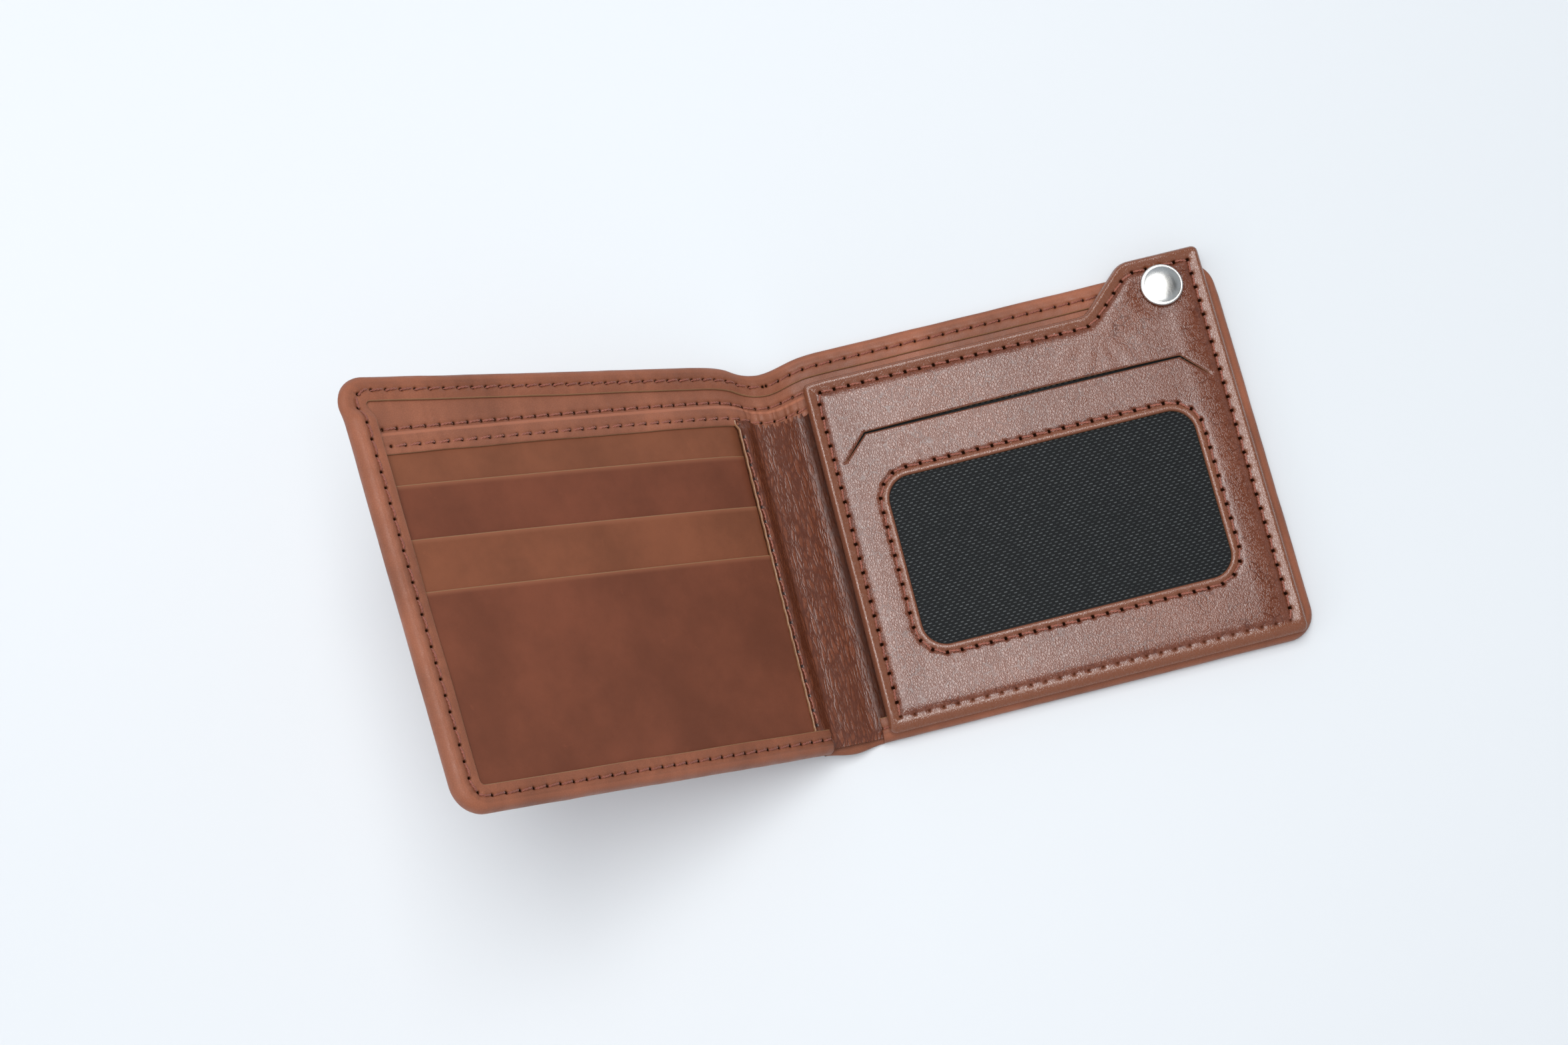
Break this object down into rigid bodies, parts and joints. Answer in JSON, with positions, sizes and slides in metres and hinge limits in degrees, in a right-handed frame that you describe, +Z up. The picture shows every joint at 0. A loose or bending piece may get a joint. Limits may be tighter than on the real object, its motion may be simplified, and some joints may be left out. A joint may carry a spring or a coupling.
{
  "type": "bifold wallet",
  "caption": "Open bifold leather wallet with card pockets on one wing and, on the other, a card insert with a mesh window held by a press stud.",
  "frame": {"origin": "on the resting surface, under the middle of the wallet's box as it lies open with its left wing raised", "axes": "+X across the open wallet towards the lying wing's outer edge, +Y towards the bill opening at the top edge, +Z up"},
  "size_m": [0.1928, 0.095, 0.0773],
  "materials": {
    "cover_leather": "smooth brown leather with a fine grain, turned edges",
    "insert_leather": "brown leather with a pebbled grain and a soft sheen",
    "pocket_leather": "waxy pull-up leather, paler near its cut edges",
    "spine_leather": "glossy leather with long fine creases",
    "edge_leather": "folded strips of brown leather with raw tan cut edges",
    "lining_cloth": "thin brown woven lining",
    "thread": "rust red sewing thread",
    "black_mesh": "woven black nylon mesh",
    "polished_nickel": "polished nickel dome",
    "snap_metal": "plain nickel plated brass"
  },
  "bodies": {
    "right_wing": {"cover_right": "cover_leather", "bill_lining_right": "lining_cloth", "bill_facing_right": "edge_leather", "panel_lining_right": "lining_cloth", "inner_panel_right": "pocket_leather", "slip_pocket_right": "pocket_leather", "panel_binding_right": "edge_leather", "spine_leather_right": "spine_leather", "hem_thread_right": "thread", "facing_thread_right": "thread", "snap_patch": "edge_leather", "stud_rivet": "snap_metal", "snap_stud": "snap_metal"},
    "spine": {"cover_spine": "cover_leather", "bill_lining_spine": "lining_cloth", "bill_facing_spine": "edge_leather", "spine_leather": "spine_leather", "panel_binding_spine": "edge_leather", "hem_thread_spine": "thread", "facing_thread_spine": "thread", "binding_thread_spine": "thread"},
    "left_wing": {"cover_left": "cover_leather", "bill_lining_left": "lining_cloth", "bill_facing_left": "edge_leather", "panel_lining_left": "lining_cloth", "card_panel_left": "pocket_leather", "card_pocket_1": "pocket_leather", "card_pocket_2": "pocket_leather", "card_pocket_3": "pocket_leather", "panel_binding_left": "edge_leather", "spine_leather_left": "spine_leather", "hem_thread_left": "thread", "facing_thread_left": "thread", "binding_thread_left": "thread", "seam_thread_left": "thread"},
    "snap_ring": {"snap_spring": "snap_metal"},
    "card_insert": {"insert_front": "insert_leather", "insert_back": "insert_leather", "window_mesh": "black_mesh", "card_divider": "lining_cloth", "border_thread": "thread", "window_thread": "thread", "snap_cap": "polished_nickel", "snap_socket": "snap_metal"}
  },
  "joints": [
    {"name": "right_crease", "type": "hinge", "parent": "right_wing", "child": "spine", "pos_m": [-0.00759, -0.00125, 0.0005], "axis": [0, 1, 0], "range_deg": [-18.5, 69]},
    {"name": "left_crease", "type": "hinge", "parent": "spine", "child": "left_wing", "pos_m": [-0.01879, -0.00125, 0.0048], "axis": [0, 1, 0], "range_deg": [-18.5, 69]},
    {"name": "snap_release", "type": "slide", "parent": "right_wing", "child": "snap_ring", "axis": [0, 0, 1], "range_m": [0, 0.02]},
    {"name": "insert_swing", "type": "hinge", "parent": "snap_ring", "child": "card_insert", "pos_m": [0.08281, 0.0396, 0], "axis": [0, 0, 1], "range_deg": [0, 180]}
  ],
  "couplings": [
    {"joint": "left_crease", "follows": "right_crease", "ratio": 1}
  ]
}
